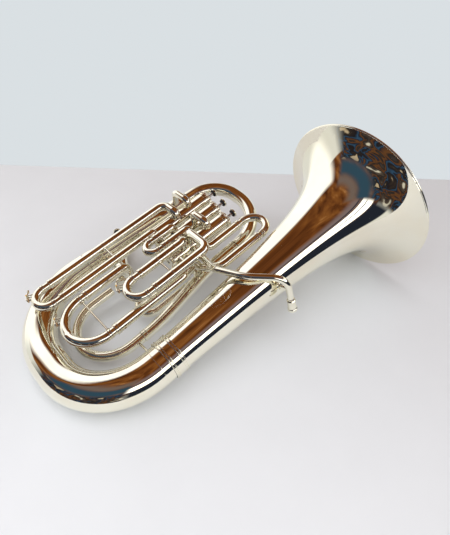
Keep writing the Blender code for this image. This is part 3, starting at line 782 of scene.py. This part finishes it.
def make_light(name, place, aim, size, power, colour):
    """A soft light aimed at a point; the silver doesn't mirror it."""
    data = bpy.data.lights.new(name, "AREA")
    data.shape = "RECTANGLE"
    data.size, data.size_y = size
    data.energy = power
    data.color = colour
    light = bpy.data.objects.new(name, data)
    light.location = place
    light.rotation_mode = "QUATERNION"
    light.rotation_quaternion = (Vector(aim) - Vector(place)).to_track_quat("-Z", "Y")
    light.visible_glossy = False
    bpy.context.scene.collection.objects.link(light)


class Sky:
    """Small helpers that write sums in the world's node tree."""

    def __init__(self, tree):
        self.tree = tree

    def math(self, operation, first, second=None):
        """One maths node; its inputs are sockets or numbers."""
        node = self.tree.nodes.new("ShaderNodeMath")
        node.operation = operation
        for socket, value in zip(node.inputs, (first, second)):
            if value is None:
                continue
            if isinstance(value, (int, float)):
                socket.default_value = value
            else:
                self.tree.links.new(value, socket)
        return node.outputs[0]

    def step(self, value, low, high):
        """Goes smoothly from 0 at low to 1 at high; high may be the smaller."""
        node = self.tree.nodes.new("ShaderNodeMapRange")
        node.interpolation_type = "SMOOTHSTEP"
        node.inputs["From Min"].default_value = min(low, high)
        node.inputs["From Max"].default_value = max(low, high)
        node.inputs["To Min"].default_value = float(low > high)
        node.inputs["To Max"].default_value = float(low < high)
        self.tree.links.new(value, node.inputs["Value"])
        return node.outputs["Result"]

    def band(self, value, low, high, soft):
        """1 between low and high, with soft edges."""
        return self.math("MULTIPLY", self.step(value, low - soft, low + soft),
                         self.math("SUBTRACT", 1.0, self.step(value, high - soft, high + soft)))

    def pattern(self, place, scale, detail, distortion, stops):
        """A noise painted with a colour ramp."""
        noise = self.tree.nodes.new("ShaderNodeTexNoise")
        noise.inputs["Scale"].default_value = scale
        noise.inputs["Detail"].default_value = detail
        noise.inputs["Distortion"].default_value = distortion
        self.tree.links.new(place, noise.inputs["Vector"])
        return add_ramp(self.tree, noise.outputs["Fac"], stops)

    def paint(self, share, under, over):
        """Colour over on colour under, by a share socket."""
        node = self.tree.nodes.new("ShaderNodeMix")
        node.data_type = "RGBA"
        self.tree.links.new(share, node.inputs["Factor"])
        for index, value in ((6, under), (7, over)):
            if isinstance(value, tuple):
                node.inputs[index].default_value = value
            else:
                self.tree.links.new(value, node.inputs[index])
        return node.outputs[2]


# Colours of the room; the two patterns are (position, colour) stops of a noise
WOOD = [(0.3, (0.05, 0.015, 0.005, 1)), (0.45, (0.13, 0.042, 0.012, 1)), (0.58, (0.22, 0.08, 0.02, 1)),
        (0.72, (0.40, 0.19, 0.07, 1))]
CLUTTER = [(0.34, (0.50, 0.40, 0.28, 1)), (0.37, (0.035, 0.026, 0.022, 1)), (0.44, (0.014, 0.012, 0.016, 1)),
           (0.48, (0.03, 0.075, 0.15, 1)), (0.5, (0.012, 0.014, 0.025, 1)), (0.55, (0.13, 0.055, 0.02, 1)),
           (0.58, (0.02, 0.018, 0.02, 1)), (0.66, (0.08, 0.06, 0.05, 1)), (0.7, (0.6, 0.57, 0.5, 1))]
PALE_WALL = (0.76, 0.77, 0.76, 1)
WHITE_WALL = (1.25, 1.25, 1.25, 1)
WINDOW = (2.3, 2.35, 2.4, 1)
BAR = (0.03, 0.03, 0.045, 1)
BLUE = (0.03, 0.07, 0.115, 1)
DUSK = (0.16, 0.12, 0.11, 1)
PURPLE = (0.20, 0.15, 0.16, 1)
DARK = (0.016, 0.02, 0.034, 1)
BACKDROP = (0.70, 0.745, 0.77, 1)
EAVES = 8.0                    # degrees above the horizon where the wood starts
EAVES_RISE = 17.0              # how much higher it starts towards -X


def make_world():
    """The room that the silver mirrors, in degrees of azimuth and height; the camera sees a backdrop."""
    world = bpy.data.worlds.new("room")
    bpy.context.scene.world = world
    world.use_nodes = True
    tree = world.node_tree
    sky = Sky(tree)
    way = tree.nodes.new("ShaderNodeTexCoord").outputs["Generated"]
    split = tree.nodes.new("ShaderNodeSeparateXYZ")
    tree.links.new(way, split.inputs[0])
    x, y, z = split.outputs
    degree = math.radians(1.0)
    height = sky.math("DIVIDE", sky.math("ARCSINE", z), degree)
    azimuth = sky.math("DIVIDE", sky.math("ARCTAN2", y, x), degree)
    spread = tree.nodes.new("ShaderNodeMapping")
    spread.inputs["Scale"].default_value = (1.0, 4.0, 1.2)
    spread.inputs["Rotation"].default_value = (0.0, 0.0, 0.6)
    tree.links.new(way, spread.inputs["Vector"])
    wood = sky.pattern(spread.outputs["Vector"], 2.2, 6.0, 0.3, WOOD)
    clutter = sky.pattern(way, 3.4, 2.5, 0.7, CLUTTER)
    eaves = sky.math("ADD", EAVES, sky.math("MULTIPLY", EAVES_RISE, sky.step(x, -0.5, -0.95)))
    above = sky.math("SUBTRACT", height, eaves)
    colour = sky.paint(sky.step(above, -1.5, 1.5), PALE_WALL, wood)
    front = sky.band(azimuth, -132.0, -38.0, 6.0)
    right = sky.band(azimuth, -38.0, 75.0, 6.0)
    left = sky.math("MAXIMUM", sky.step(azimuth, 148.0, 160.0), sky.step(azimuth, -142.0, -158.0))
    for quarter, low, high, soft, over in (
            (front, -70.0, 22.0, 3.0, clutter),
            (front, 22.0, 48.0, 9.0, BLUE),
            (front, 47.0, 60.0, 6.0, DUSK),
            (right, 34.0, 50.0, 7.0, PURPLE),
            (right, -12.0, 14.5, 1.5, DARK),
            (right, 15.5, 33.0, 1.0, WINDOW),
            (right, 24.5, 26.5, 0.6, BAR),
            (right, 37.0, 39.5, 0.6, BAR),
            (left, -14.0, 51.0, 5.0, WHITE_WALL)):
        share = sky.math("MULTIPLY", quarter, sky.band(height, low, high, soft))
        colour = sky.paint(share, colour, over)
    seen = tree.nodes.new("ShaderNodeLightPath").outputs["Is Camera Ray"]
    colour = sky.paint(seen, colour, BACKDROP)
    shader = tree.nodes["Background"]
    tree.links.new(colour, shader.inputs["Color"])
    shader.inputs["Strength"].default_value = 1.0


make_camera()
make_floor("sheet", SHEET_FRONT, SHEET_HALF_WIDTH, 0.0)
make_floor("floor", FLOOR_FRONT, FLOOR_HALF_WIDTH, FLOOR_DROP).visible_glossy = False
make_world()
make_light("key", (0.3, -0.8, 1.5), (0.1, -0.1, 0.0), (2.6, 2.6), 40.0, (0.93, 0.97, 1.0))
bpy.context.scene.view_settings.view_transform = "Standard"
